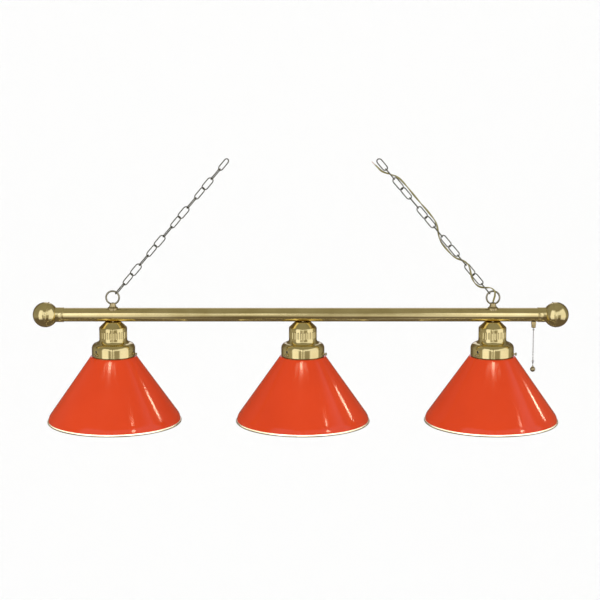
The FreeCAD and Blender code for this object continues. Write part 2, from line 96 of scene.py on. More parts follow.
def add_piece(bm, name, body, nodes, materials, sharp=38):
    """Make a bmesh a piece that rides on a body and stands for its CAD nodes."""
    piece = bpy.data.objects.new(name, finish_mesh(bm, name, materials, sharp))
    bpy.context.scene.collection.objects.link(piece)
    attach(piece, body)
    if nodes:
        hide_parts(*nodes)
    return piece


def rounded(corners, steps=5):
    """An outline through (radius, height, fillet) corners, each fillet a short arc."""
    points = []
    count = len(corners)
    for i, (r, z, fillet) in enumerate(corners):
        here = Vector((r, z))
        if fillet <= 0:
            points.append(here)
            continue
        before = Vector(corners[i - 1][:2])
        after = Vector(corners[(i + 1) % count][:2])
        into = (here - before).normalized()
        out = (after - here).normalized()
        turn = into.angle(out)
        reach = fillet * math.tan(turn / 2)
        start = here - into * reach
        end = here + out * reach
        for k in range(steps + 1):
            t = k / steps
            points.append((1 - t) ** 2 * start + 2 * t * (1 - t) * here + t ** 2 * end)
    return points


WELD_DISTANCE = 1e-6


def lathe(bm, outline, segments, place, closed=True, bump=None):
    """Turn a (radius, height) outline about Z; bump(angle, r, z) may change each radius."""
    rings = []
    for i in range(segments):
        turn = 2 * math.pi * i / segments
        ring = []
        for r, z in outline:
            reach = bump(turn, r, z) if bump else r
            point = Vector((reach * math.cos(turn), reach * math.sin(turn), z))
            ring.append(bm.verts.new(place @ point))
        rings.append(ring)
    count = len(outline)
    for i in range(segments):
        this, other = rings[i], rings[(i + 1) % segments]
        for k in range(count if closed else count - 1):
            n = (k + 1) % count
            bm.faces.new([this[k], other[k], other[n], this[n]])
    bmesh.ops.remove_doubles(bm, verts=bm.verts, dist=WELD_DISTANCE)


def sweep(bm, points, section, closed=False, twist=None):
    """Carry a closed (across, up) section along points, turning it as little as possible."""
    count = len(points)
    tangents = []
    for i in range(count):
        ahead = points[(i + 1) % count] if closed or i < count - 1 else points[i]
        behind = points[i - 1] if closed or i > 0 else points[i]
        tangents.append((ahead - behind).normalized())
    across = tangents[0].orthogonal().normalized()
    rings = []
    for i in range(count):
        if i:
            across = tangents[i - 1].rotation_difference(tangents[i]) @ across
            across = (across - tangents[i] * across.dot(tangents[i])).normalized()
        up = tangents[i].cross(across)
        spin = twist(i) if twist else 0.0
        side = across * math.cos(spin) + up * math.sin(spin)
        rise = up * math.cos(spin) - across * math.sin(spin)
        rings.append([bm.verts.new(points[i] + side * a + rise * b) for a, b in section])
    sides = len(section)
    for i in range(count if closed else count - 1):
        this, other = rings[i], rings[(i + 1) % count]
        for k in range(sides):
            n = (k + 1) % sides
            bm.faces.new([this[k], this[n], other[n], other[k]])
    if not closed:
        bm.faces.new(list(reversed(rings[0])))
        bm.faces.new(rings[-1])


def circle(radius, sides, centre=(0.0, 0.0)):
    """A round section for sweep(), or a round outline for lathe()."""
    turns = [2 * math.pi * k / sides for k in range(sides)]
    return [(centre[0] + radius * math.cos(t), centre[1] + radius * math.sin(t)) for t in turns]


def mark_faces(bm, first, index):
    """Give the faces added since first a material."""
    bm.faces.ensure_lookup_table()
    for face in bm.faces[first:]:
        face.material_index = index


# ---- material helpers ----
def new_material(name):
    """An empty node material with its output, ready for a shader."""
    material = bpy.data.materials.new(name)
    material.use_nodes = True
    tree = material.node_tree
    tree.nodes.clear()
    output = tree.nodes.new("ShaderNodeOutputMaterial")
    shader = tree.nodes.new("ShaderNodeBsdfPrincipled")
    tree.links.new(shader.outputs["BSDF"], output.inputs["Surface"])
    return material, tree, shader


def object_noise(tree, scale, detail, stretch=(1, 1, 1)):
    """Noise in object space; a stretch below 1 draws it out along that axis."""
    place = tree.nodes.new("ShaderNodeTexCoord")
    mapping = tree.nodes.new("ShaderNodeMapping")
    mapping.inputs["Scale"].default_value = stretch
    noise = tree.nodes.new("ShaderNodeTexNoise")
    noise.inputs["Scale"].default_value = scale
    noise.inputs["Detail"].default_value = detail
    tree.links.new(place.outputs["Object"], mapping.inputs["Vector"])
    tree.links.new(mapping.outputs["Vector"], noise.inputs["Vector"])
    return noise.outputs["Fac"]


def ramp(tree, source, stops):
    """A colour ramp on a 0 to 1 value; stops are (place, colour)."""
    node = tree.nodes.new("ShaderNodeValToRGB")
    elements = node.color_ramp.elements
    while len(elements) < len(stops):
        elements.new(0.5)
    for element, (place, colour) in zip(elements, stops):
        element.position = place
        element.color = (*colour, 1)
    tree.links.new(source, node.inputs["Fac"])
    return node.outputs["Color"]


def add_tone(tree, shader, scale, detail, stops):
    """Slow changes of the base colour between the stops' colours."""
    colour = ramp(tree, object_noise(tree, scale, detail), stops)
    tree.links.new(colour, shader.inputs["Base Color"])


def add_gloss(tree, shader, scale, detail, low, high):
    """Smudged gloss: a roughness that wanders from low to high."""
    smudge = object_noise(tree, scale, detail)
    gloss = tree.nodes.new("ShaderNodeMapRange")
    gloss.inputs["To Min"].default_value = low
    gloss.inputs["To Max"].default_value = high
    tree.links.new(smudge, gloss.inputs["Value"])
    tree.links.new(gloss.outputs["Result"], shader.inputs["Roughness"])


def add_bump(tree, shader, scale, detail, strength, distance, stretch=(1, 1, 1)):
    """A fine uneven surface."""
    fine = object_noise(tree, scale, detail, stretch)
    bump = tree.nodes.new("ShaderNodeBump")
    bump.inputs["Strength"].default_value = strength
    bump.inputs["Distance"].default_value = distance
    tree.links.new(fine, bump.inputs["Height"])
    tree.links.new(bump.outputs["Normal"], shader.inputs["Normal"])


def metal(name, light, dark, rough, grain=(1, 1, 1), grain_scale=900, grain_bump=0.04, blotch=18):
    """Plated or polished metal: slow tone changes, smudged gloss and a fine polishing grain."""
    material, tree, shader = new_material(name)
    add_tone(tree, shader, scale=blotch, detail=5, stops=[(0.3, dark), (0.62, light)])
    shader.inputs["Metallic"].default_value = 1.0
    add_gloss(tree, shader, scale=45, detail=6, low=rough[0], high=rough[1])
    add_bump(tree, shader, grain_scale, 3, grain_bump, 0.2 * MM, grain)
    return material


# ---- materials ----
def brass_materials():
    """The lamp's brasses: drawn bar, pressed caps, dented balls, cast loops, rings, rims and screws."""
    light, dark = (0.80, 0.66, 0.29), (0.71, 0.57, 0.23)
    return {
        "bar": metal("brass_bar", light, dark, (0.07, 0.12),
                     grain=(0.02, 1, 1), grain_scale=1400, grain_bump=0.03),
        "cap": metal("brass_cap", light, dark, (0.07, 0.13), grain=(1, 1, 0.04), grain_bump=0.03),
        "ball": metal("brass_ball", light, dark, (0.08, 0.15), grain_scale=130, grain_bump=0.9),
        "cast": metal("brass_cast", (0.60, 0.48, 0.22), (0.38, 0.29, 0.12), (0.12, 0.24),
                      grain_scale=500, grain_bump=0.10),
        # the eye ring's brass is darker and greyer than its neck's: painted shade standing for the dim room
        # it mirrors
        "ring": metal("brass_ring_painted_shade", (0.46, 0.42, 0.27), (0.26, 0.24, 0.15), (0.16, 0.28),
                      grain_scale=500, grain_bump=0.08, blotch=80),
        "trim": metal("brass_trim", (0.92, 0.82, 0.56), (0.82, 0.70, 0.42), (0.24, 0.34), grain_bump=0.03),
        "screw": metal("brass_screw", (0.60, 0.50, 0.28), (0.42, 0.34, 0.18), (0.16, 0.28), grain_bump=0.06),
    }


def enamel(name, light, dark, rough):
    """Glossy baked enamel: a little smudged, with a faint orange-peel surface."""
    material, tree, shader = new_material(name)
    add_tone(tree, shader, scale=7, detail=4, stops=[(0.3, dark), (0.7, light)])
    add_gloss(tree, shader, scale=30, detail=5, low=rough, high=rough + 0.10)
    shader.inputs["Specular IOR Level"].default_value = 0.28
    add_bump(tree, shader, scale=420, detail=2, strength=0.03, distance=0.3 * MM)
    return material


def plastic(name, light, dark, rough):
    """Moulded plastic with a fine moulded surface."""
    material, tree, shader = new_material(name)
    add_tone(tree, shader, scale=60, detail=4, stops=[(0.35, dark), (0.65, light)])
    shader.inputs["Roughness"].default_value = rough
    add_bump(tree, shader, scale=1500, detail=2, strength=0.05, distance=0.2 * MM)
    return material


def cord_vinyl():
    """Clear gold vinyl over stranded copper: blotched, glossy and a little uneven."""
    material, tree, shader = new_material("cord_vinyl")
    add_tone(tree, shader, scale=90, detail=5, stops=[(0.3, (0.16, 0.135, 0.035)), (0.7, (0.36, 0.31, 0.10))])
    shader.inputs["Roughness"].default_value = 0.28
    shader.inputs["Transmission Weight"].default_value = 0.15
    shader.inputs["Coat Weight"].default_value = 0.5
    shader.inputs["Coat Roughness"].default_value = 0.12
    add_bump(tree, shader, scale=1100, detail=2, strength=0.12, distance=0.3 * MM)
    return material


BRASS = brass_materials()
CHAIN_METAL = metal("chain_metal", (0.27, 0.26, 0.19), (0.12, 0.115, 0.08), (0.20, 0.34),
                    grain_scale=700, grain_bump=0.12, blotch=60)
ORANGE = enamel("orange_enamel", (0.69, 0.056, 0.0105), (0.64, 0.050, 0.0088), 0.07)
WHITE = enamel("white_enamel", (0.86, 0.85, 0.81), (0.80, 0.79, 0.75), 0.30)
CORD = cord_vinyl()
COPPER = metal("copper", (0.78, 0.42, 0.24), (0.60, 0.30, 0.16), (0.22, 0.36),
               grain=(1, 1, 0.05), grain_bump=0.15)
NICKEL = metal("bead_nickel", (0.62, 0.60, 0.54), (0.48, 0.46, 0.41), (0.14, 0.24))
ZINC = metal("zinc_steel", (0.62, 0.62, 0.60), (0.46, 0.46, 0.45), (0.25, 0.4))
BLACK = plastic("black_plastic", (0.022, 0.022, 0.022), (0.015, 0.015, 0.015), 0.38)
PHENOLIC = plastic("socket_phenolic", (0.030, 0.026, 0.024), (0.018, 0.016, 0.015), 0.26)
# a flat dark colour painted on the keyhole discs as the shade inside a hole; no hole is cut
PAINTED_HOLE_SHADE = plastic("painted_hole_shade", (0.020, 0.016, 0.010), (0.012, 0.010, 0.007), 0.6)
SOCKET_METAL = metal("socket_metal", (0.78, 0.64, 0.36), (0.60, 0.47, 0.24), (0.18, 0.3))

NODE_MATERIALS = {
    "finial_plug": ZINC,
    "loop_locknuts": ZINC,
    "socket_": PHENOLIC,
    "centre_contacts": SOCKET_METAL,
    "nipple": BRASS["screw"],
    "switch_body": BLACK,
    "wiring_harness": BLACK,
    "wire_nuts": BLACK,
    "cord_bushing": BLACK,
}


def dress_nodes():
    """Give each CAD node that stays on show its material."""
    for name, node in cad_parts.items():
        for start, material in NODE_MATERIALS.items():
            if name.startswith(start):
                node.data.materials.clear()
                node.data.materials.append(material)


# ---- camera, floor and light ----
CAMERA_DISTANCE = 5.0
CAMERA_TILT = math.radians(10)
CAMERA_TARGET = Vector((-0.0075, 0, BAR_Z + 0.0395))
VIEW_WIDTH = 1.590
SENSOR_WIDTH = 36


def make_camera():
    """The camera in front of the lamp, looking slightly down."""
    camera = bpy.data.objects.new("camera", bpy.data.cameras.new("camera"))
    bpy.context.scene.collection.objects.link(camera)
    back = Vector((0, -math.cos(CAMERA_TILT), math.sin(CAMERA_TILT)))
    camera.location = CAMERA_TARGET + back * CAMERA_DISTANCE
    camera.rotation_euler = (-back).to_track_quat("-Z", "Y").to_euler()
    camera.data.sensor_width = SENSOR_WIDTH
    camera.data.lens = SENSOR_WIDTH * CAMERA_DISTANCE / VIEW_WIDTH
    bpy.context.scene.camera = camera
    bpy.context.scene.view_settings.view_transform = "Standard"


FLOOR_Z = -3.4
FLOOR_FRONT = -9.0
FLOOR_HALF_WIDTH = 12.0
CURVE_START = 4.0
CURVE_R = 2.0
BACKDROP_TOP = 9.0


def make_floor():
    """A wide pale floor well below the lamp, rising to a backdrop behind it."""
    material, tree, shader = new_material("pale_floor")
    shader.inputs["Base Color"].default_value = (0.97, 0.97, 0.965, 1)
    shader.inputs["Roughness"].default_value = 0.9
    outline = [(FLOOR_FRONT, 0.0), (CURVE_START, 0.0)]
    for step in range(1, 13):
        t = math.pi / 2 * step / 12
        outline.append((CURVE_START + CURVE_R * math.sin(t), CURVE_R - CURVE_R * math.cos(t)))
    outline.append((CURVE_START + CURVE_R, BACKDROP_TOP))
    bm = bmesh.new()
    rows = [[bm.verts.new((x, y, z + FLOOR_Z)) for x in (-FLOOR_HALF_WIDTH, FLOOR_HALF_WIDTH)]
            for y, z in outline]
    for this, other in zip(rows, rows[1:]):
        bm.faces.new([this[0], this[1], other[1], other[0]])
    floor = bpy.data.objects.new("floor", finish_mesh(bm, "floor", [material], 60))
    bpy.context.scene.collection.objects.link(floor)
    floor.visible_glossy = False


def math_node(tree, operation, a, b=None):
    """One Math node; a and b are sockets or numbers."""
    node = tree.nodes.new("ShaderNodeMath")
    node.operation = operation
    for place, value in enumerate((a, b)):
        if value is None:
            continue
        if isinstance(value, (int, float)):
            node.inputs[place].default_value = value
        else:
            tree.links.new(value, node.inputs[place])
    return node.outputs["Value"]


def soft_step(tree, value, at, edge, first, last):
    """A smooth step from first to last where value passes at."""
    node = tree.nodes.new("ShaderNodeMapRange")
    node.interpolation_type = "SMOOTHSTEP"
    node.inputs["From Min"].default_value = at - edge
    node.inputs["From Max"].default_value = at + edge
    node.inputs["To Min"].default_value = first
    node.inputs["To Max"].default_value = last
    tree.links.new(value, node.inputs["Value"])
    return node.outputs["Result"]


def soft_band(tree, value, low, high, edge):
    """1 between low and high, 0 outside, with a soft edge."""
    rise = soft_step(tree, value, low, edge, 0, 1)
    fall = soft_step(tree, value, high, edge, 1, 0)
    return math_node(tree, "MULTIPLY", rise, fall)


def background(tree, colour):
    """One background colour of the world."""
    node = tree.nodes.new("ShaderNodeBackground")
    if isinstance(colour, tuple):
        node.inputs["Color"].default_value = colour
    else:
        tree.links.new(colour, node.inputs["Color"])
    return node


# each softbox in degrees: left and right azimuth from the front (+ is right), low and high elevation,
# soft edge at the sides, soft edge at top and bottom; then its brightness
SOFTBOXES = [
    (-58, -22, -32, 44, 4, 5, 0.9),
    (38, 92, -32, 44, 5, 5, 0.8),
    (-8.8, -3.8, -30, 36, 1.0, 4, 0.60),
    (-8.8, -5.6, -2, 36, 1.0, 5, 0.75),
    (-8.8, -5.9, -72, -26, 1.0, 6, 0.26),
    (-3.8, -1.9, 0, 14, 0.8, 4, 0.62),
    (-2.1, -0.4, -1, 32, 0.5, 3, 0.95),
    (-0.4, 4.0, -30, 24, 0.8, 4, 0.16),
    (1.8, 4.2, -12, 14, 0.8, 4, 0.20),
    (4.2, 8.8, -30, 34, 1.0, 4, 0.58),
    (5.4, 8.8, -2, 38, 1.0, 5, 0.75),
    (5.8, 8.8, -88, -50, 1.0, 6, 0.42),
    (-22, -10, 6, 34, 2, 6, 0.7),
    (11, 38, 6, 38, 2, 6, 0.7),
    (169, 200, 6, 36, 3, 5, 0.8),
    (-200, -169, 6, 36, 3, 5, 0.8),
]
# the mirrored room from straight down (0) to straight up (1)
SKY_TONES = [
    (0.0, (0.17, 0.14, 0.125)),
    (0.36, (0.15, 0.125, 0.115)),
    (0.425, (0.38, 0.36, 0.33)),
    (0.54, (0.30, 0.29, 0.27)),
    (0.80, (0.31, 0.30, 0.265)),
    (1.0, (0.34, 0.33, 0.29)),
]
# the darker wall behind the lamp, from this azimuth to the back, this far above and below the horizon
WALL_FROM = 128
WALL_PAST_BACK = 400
WALL_RISE = 34
WALL_EDGE = 14
WALL_TONE = (0.15, 0.12, 0.09, 1)
SOFTBOX_TONE = (0.96, 1.0, 1.3, 1)
STUDIO_TONE = (1, 1, 1, 1)
STUDIO_STRENGTH = 1.02


def mirrored_room(tree):
    """What gloss mirrors: a dim room with a darker wall behind, and softboxes."""
    place = tree.nodes.new("ShaderNodeTexCoord")
    split = tree.nodes.new("ShaderNodeSeparateXYZ")
    tree.links.new(place.outputs["Generated"], split.inputs["Vector"])
    x, y, z = (split.outputs[axis] for axis in "XYZ")
    to_degrees = 180 / math.pi
    azimuth = math_node(tree, "ARCTAN2", x, math_node(tree, "MULTIPLY", y, -1.0))
    azimuth = math_node(tree, "MULTIPLY", azimuth, to_degrees)
    elevation = math_node(tree, "MULTIPLY", math_node(tree, "ARCSINE", z), to_degrees)
    height = math_node(tree, "ADD", math_node(tree, "MULTIPLY", elevation, 1 / 180), 0.5)
    sky = ramp(tree, height, SKY_TONES)
    aside = math_node(tree, "ABSOLUTE", azimuth)
    behind = math_node(tree, "MULTIPLY", soft_band(tree, aside, WALL_FROM, WALL_PAST_BACK, WALL_EDGE),
                       soft_band(tree, elevation, -WALL_RISE, WALL_RISE, WALL_EDGE))
    room = tree.nodes.new("ShaderNodeMix")
    room.data_type = "RGBA"
    tree.links.new(behind, room.inputs["Factor"])
    tree.links.new(sky, room.inputs["A"])
    room.inputs["B"].default_value = WALL_TONE
    boxes = None
    for left, right, low, high, side_edge, top_edge, power in SOFTBOXES:
        inside = math_node(tree, "MULTIPLY", soft_band(tree, azimuth, left, right, side_edge),
                           soft_band(tree, elevation, low, high, top_edge))
        lit = math_node(tree, "MULTIPLY", inside, power)
        boxes = lit if boxes is None else math_node(tree, "ADD", boxes, lit)
    mirror_room = background(tree, room.outputs["Result"])
    mirror_boxes = background(tree, SOFTBOX_TONE)
    tree.links.new(boxes, mirror_boxes.inputs["Strength"])
    mirror = tree.nodes.new("ShaderNodeAddShader")
    tree.links.new(mirror_room.outputs["Background"], mirror.inputs[0])
    tree.links.new(mirror_boxes.outputs["Background"], mirror.inputs[1])
    return mirror


def make_world():
    """A white studio, but gloss mirrors the dim room with softboxes."""
    world = bpy.data.worlds.new("studio")
    bpy.context.scene.world = world
    world.use_nodes = True
    tree = world.node_tree
    tree.nodes.clear()
    output = tree.nodes.new("ShaderNodeOutputWorld")
    mirror = mirrored_room(tree)
    plain = background(tree, STUDIO_TONE)
    plain.inputs["Strength"].default_value = STUDIO_STRENGTH
    path = tree.nodes.new("ShaderNodeLightPath")
    mix = tree.nodes.new("ShaderNodeMixShader")
    tree.links.new(path.outputs["Is Glossy Ray"], mix.inputs["Fac"])
    tree.links.new(plain.outputs["Background"], mix.inputs[1])
    tree.links.new(mirror.outputs["Shader"], mix.inputs[2])
    tree.links.new(mix.outputs["Shader"], output.inputs["Surface"])


def add_lamp(name, shape, width, tall, power, colour=(1, 1, 1)):
    """One flat lamp that the camera doesn't see."""
    data = bpy.data.lights.new(name, "AREA")
    data.shape = shape
    data.size = width
    data.size_y = tall
    data.energy = power
    data.color = colour
    light = bpy.data.objects.new(name, data)
    bpy.context.scene.collection.objects.link(light)
    light.visible_camera = False
    return light


# name, place, diameter and power of each soft light, and the place they all face
LIGHTS = [
    ("key", (-1.6, -2.4, 1.6), 1.6, 14),
    ("fill", (2.2, -2.0, 0.4), 1.8, 5),
]
LIGHTS_FACE = Vector((0, 0, -0.5))


def make_lights():
    """The soft lights in front of the lamp, which nothing mirrors."""
    for name, place, size, power in LIGHTS:
        light = add_lamp(name, "DISK", size, size, power)
        light.location = place
        light.rotation_euler = (LIGHTS_FACE - Vector(place)).to_track_quat("-Z", "Y").to_euler()
        light.visible_glossy = False


make_camera()
make_floor()
make_world()
make_lights()

# how many degrees above level the cone's slope faces, and the lip below it
CONE_FACES = 35
LIP_FACES = 17
# one small lamp for each glint in an enamelled cone: its name, the glint's turn about the cone (degrees
# from the front, + is right), its radius and its height from the bar's axis (mm), the slope faced there,
# the lamp's distance (m), width and height (m) and power
GLINTS = [
    ("top", -3, 62, -112.6, CONE_FACES, 0.6, 0.50, 0.020, 0.22),
    ("high", -3, 65, -117, CONE_FACES, 0.6, 0.11, 0.045, 0.40),
    ("side", 52, 137, -221, CONE_FACES, 0.7, 0.040, 0.12, 0.45),
    ("low", 22, 167, -263.5, CONE_FACES, 0.7, 0.035, 0.030, 0.10),
    ("lip", 22, 175.1, -277.9, LIP_FACES, 0.7, 0.08, 0.30, 1.6),
]
GLINT_TONE = (1.0, 0.88, 0.62)
# turn from the front (degrees) and power of each broad lamp that the rims mirror
RIM_GLOWS = [(0, 150), (-95, 120), (95, 120)]
RIM_GLOW_RISE = math.radians(48)
RIM_GLOW_DISTANCE = 2.6
RIM_GLOW_WIDTH = 5.0
RIM_GLOW_HEIGHT = 4.6
RIM_GLOW_TONE = (0.98, 1.0, 1.08)


def slope_axes(degrees, slope):
    """Outward, facing and uphill directions of a surface turned from the front and tilted up by slope."""
    turn = math.radians(degrees)
    out = Vector((math.sin(turn), -math.cos(turn), 0))
    facing = out * math.cos(slope) + Vector((0, 0, math.sin(slope)))
    uphill = Vector((0, 0, math.cos(slope))) - out * math.sin(slope)
    return out, facing, uphill


def aim(light, spot, away, along, distance):
    """Stand a flat lamp off a spot along a direction, facing back at it."""
    side = along.cross(away).normalized()
    up = away.cross(side)
    place = Matrix((side, up, away)).transposed().to_4x4()
    place.translation = spot + away * distance
    light.matrix_world = place


def receivers_only(light, collection):
    """Let a lamp reach one collection's gloss, and nothing else."""
    light.light_linking.receiver_collection = collection
    light.visible_diffuse = False


def make_glints(lamp, cone):
    """Small lamps that one cone's gloss mirrors, each aimed at one place on it."""
    receivers = bpy.data.collections.new("glints_" + lamp)
    receivers.objects.link(cone)
    eye = bpy.context.scene.camera.location
    for name, degrees, radius, height, faces, distance, width, tall, power in GLINTS:
        out, normal, uphill = slope_axes(degrees, math.radians(faces))
        spot = Vector((LAMP_X[lamp], 0, BAR_Z + height * MM)) + out * radius * MM
        view = (eye - spot).normalized()
        mirrored = (normal * (2 * normal.dot(view)) - view).normalized()
        light = add_lamp("glint_%s_%s" % (name, lamp), "ELLIPSE", width, tall, power, GLINT_TONE)
        aim(light, spot, mirrored, uphill, distance)
        receivers_only(light, receivers)


def make_rim_glow(rims):
    """Broad lamps above the front and sides that only the rolled rims mirror, as one pale line each."""
    receivers = bpy.data.collections.new("rims")
    for rim in rims:
        receivers.objects.link(rim)
    for degrees, power in RIM_GLOWS:
        light = add_lamp("rim_glow_%d" % degrees, "RECTANGLE", RIM_GLOW_WIDTH, RIM_GLOW_HEIGHT, power,
                         RIM_GLOW_TONE)
        away, uphill = slope_axes(degrees, RIM_GLOW_RISE)[1:]
        aim(light, Vector((0, 0, BAR_Z)), away, uphill, RIM_GLOW_DISTANCE)
        receivers_only(light, receivers)


# ---- supply cord ----
# The same route as the CAD solid's, in mm: along the right chain, towards its upper side, to the back.
CORD_ROUTE = [
    (-28.0, -23.6, 0.0),
    (-18.4, -15.5, 0.3),
    (-8.0, -6.7, -0.4),
    (0.0, 5.5, -4.2),
    (11.1, 15.6, -6.9),
    (25.6, 13.0, -4.8),
    (34.0, 0.4, 0.0),
    (45.5, -10.0, 0.2),
    (62.0, -13.2, -4.2),
    (80.5, -9.0, -9.4),
    (98.0, 1.0, -9.8),
    (114.5, 6.8, -4.6),
    (130.5, 0.8, 0.2),
    (147.0, -10.6, 1.0),
    (176.0, -12.6, -0.8),
    (208.0, -12.2, 0.8),
    (230.5, 0.2, 0.2),
    (252.0, 12.4, -0.8),
    (288.0, 13.6, 0.9),
    (330.0, 12.4, -0.9),
    (372.0, 13.2, 0.8),
    (408.0, 12.2, -0.6),
    (428.0, 0.2, -0.2),
    (447.5, -12.4, -0.8),
    (460.0, -13.2, -1.0),
    (472.0, -14.4, -0.6),
]
CORD_WIDTH = 5.0 * MM
CORD_THICKNESS = 2.7 * MM
CORD_TWISTS = 5.0


def chain_place(side, s, n=0.0, y=0.0):
    """A point given along the chain, across it towards its upper side, and to the back."""
    sign = SIDES[side]
    x = LAMP_X[side] + sign * (n * math.cos(CHAIN_ANGLE) - s * math.sin(CHAIN_ANGLE))
    return Vector((x, y, RING_Z + s * math.cos(CHAIN_ANGLE) + n * math.sin(CHAIN_ANGLE)))


def smooth_route(points, name):
    """Points along a NURBS spline through the route, read from the curve itself."""
    curve = bpy.data.curves.new(name, "CURVE")
    curve.dimensions = "3D"
    curve.resolution_u = 12
    spline = curve.splines.new("NURBS")
    spline.points.add(len(points) - 1)
    for point, place in zip(spline.points, points):
        point.co = (*place, 1)
    spline.order_u = 3
    spline.use_endpoint_u = True
    holder = bpy.data.objects.new(name, curve)
    mesh = bpy.data.meshes.new_from_object(holder)
    places = [v.co.copy() for v in mesh.vertices]
    bpy.data.meshes.remove(mesh)
    bpy.data.objects.remove(holder)
    bpy.data.curves.remove(curve)
    return places


def twin_section(sides=28):
    """The flat cord's section: two round conductors joined by a web."""
    lobe = CORD_THICKNESS / 2
    offset = CORD_WIDTH / 2 - lobe
    web = 0.62 * lobe
    half = sides // 2
    span = math.pi - math.asin(web / lobe) * 0.9
    right = [(offset + lobe * math.cos(t), lobe * math.sin(t))
             for t in [-span + 2 * span * k / (half - 1) for k in range(half)]]
    left = [(-a, -b) for a, b in right]
    return right + left


def make_cord():
    """The flat twin cord woven through the right chain, with its stripped ends."""
    route = [chain_place("right", s * MM, n * MM, y * MM) for s, n, y in CORD_ROUTE]
    path = smooth_route(route, "cord_route")
    lengths = [0.0]
    for a, b in zip(path, path[1:]):
        lengths.append(lengths[-1] + (b - a).length)
    total = lengths[-1]
    bm = bmesh.new()
    sweep(bm, path, twin_section(), twist=lambda i: 2 * math.pi * CORD_TWISTS * lengths[i] / total)
    cord = add_piece(bm, "supply_cord", "hanging_frame", ["power_cord"], [CORD], 60)
    leads = make_leads(path)


LEAD_OFFSET = 1.25 * MM
LEAD_SPLAY = 0.6 * MM
LEAD_LENGTH = 12.5 * MM
LEAD_INSULATED = 0.15
INSULATION_R = 1.15 * MM
STRANDS = 7
STRAND_R = 0.22 * MM
STRANDS_FROM_MIDDLE = 0.5 * MM
STRANDS_TURN = 4


def make_leads(path):
    """The two stripped conductors: a stub of insulation, then twisted copper strands."""
    along = (path[-1] - path[-2]).normalized()
    side = along.orthogonal().normalized()
    up = along.cross(side)
    bm = bmesh.new()
    for sign in (-1, 1):
        start = path[-1] + Vector((0, sign * LEAD_OFFSET, 0))
        tip = start + along * LEAD_LENGTH + Vector((0, sign * LEAD_SPLAY, 0))
        stub = start.lerp(tip, LEAD_INSULATED)
        sweep(bm, [start, stub], circle(INSULATION_R, 14))
        for strand in range(STRANDS):
            strand_path = []
            for k in range(25):
                t = k / 24
                spin = 2 * math.pi * strand / STRANDS + STRANDS_TURN * t
                out = side * math.cos(spin) + up * math.sin(spin)
                strand_path.append(stub.lerp(tip, t) + out * STRANDS_FROM_MIDDLE)
            before = len(bm.faces)
            sweep(bm, strand_path, circle(STRAND_R, 6))
            mark_faces(bm, before, 1)
    return add_piece(bm, "cord_strands", "hanging_frame", ["cord_leads"], [CORD, COPPER])


make_cord()
dress_nodes()


# ---- bar, finials and loops ----
TURN_TO_X = Matrix.Rotation(math.radians(90), 4, "Y")
BALL_R = 33.5 * MM
SLEEVE_R = 19.6 * MM
SEAM_OFFSET = 5.5 * MM
SEAM_WIRE = 1.1 * MM
SEAM_TILT = math.radians(6)


def along_bar(x):
    """The frame on the bar's axis at x that turns a lathe's Z to +X."""
    return on_bar(x) @ TURN_TO_X


def make_bar():
    """The long polished tube; extra rings along it keep its smooth normals straight."""
    length = bar_high.x - bar_low.x
    inner_r = BAR_R - 1.5 * MM
    edge = 0.3 * MM
    near_end = 1.0 * MM
    rings = [near_end] + [length * k / 8 for k in range(1, 8)] + [length - near_end]
    outline = rounded([(inner_r, 0, 0), (BAR_R, 0, edge)] + [(BAR_R, z, 0) for z in rings]
                      + [(BAR_R, length, edge), (inner_r, length, 0)])
    bm = bmesh.new()
    lathe(bm, outline, 144, along_bar(bar_low.x))
    add_piece(bm, "bar", "hanging_frame", ["bar_tube"], [BRASS["bar"]])


def make_finial(side):
    """One hollow ball with its raised, slightly tilted seam."""
    sign = SIDES[side]
    low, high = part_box("finial_ball_" + side)
    centre = high.x - BALL_R if sign > 0 else low.x + BALL_R
    mouth = math.acos(SLEEVE_R / BALL_R)
    arc = [(BALL_R * math.cos(t), BALL_R * math.sin(t))
           for t in [-mouth + (mouth + math.pi / 2) * k / 48 for k in range(49)]]
    arc[-1] = (0.0, BALL_R)
    face = -BALL_R * math.sin(mouth)
    bore = 5 * MM
    outline = [(bore, face + 1.5 * MM), (bore, face), (SLEEVE_R - 0.8 * MM, face)] + arc
    place = along_bar(centre)
    if sign < 0:
        place = place @ Matrix.Rotation(math.pi, 4, "X")
    bm = bmesh.new()
    lathe(bm, outline, 128, place, closed=False)
    seam_r = math.sqrt(BALL_R ** 2 - SEAM_OFFSET ** 2)
    tilt = Matrix.Translation((0, 0, -SEAM_OFFSET)) @ Matrix.Rotation(-SEAM_TILT, 4, "Y")
    lathe(bm, circle(SEAM_WIRE, 16, (seam_r, 0.0)), 128, place @ tilt)
    add_piece(bm, "ball_" + side, "hanging_frame", ["finial_ball_" + side], [BRASS["ball"]])


def make_sleeve(side):
    """The collar between a ball and the bar."""
    low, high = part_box("finial_sleeve_" + side)
    length = high.x - low.x
    bore = BAR_R + 0.02 * MM
    bar_edge, ball_edge = 1.1 * MM, 0.4 * MM
    first, last = (ball_edge, bar_edge) if side == "left" else (bar_edge, ball_edge)
    outline = rounded([(bore, 0, 0), (SLEEVE_R, 0, first), (SLEEVE_R, length, last), (bore, length, 0)])
    bm = bmesh.new()
    lathe(bm, outline, 128, along_bar(low.x))
    add_piece(bm, "sleeve_" + side, "hanging_frame", ["finial_sleeve_" + side], [BRASS["cap"]])


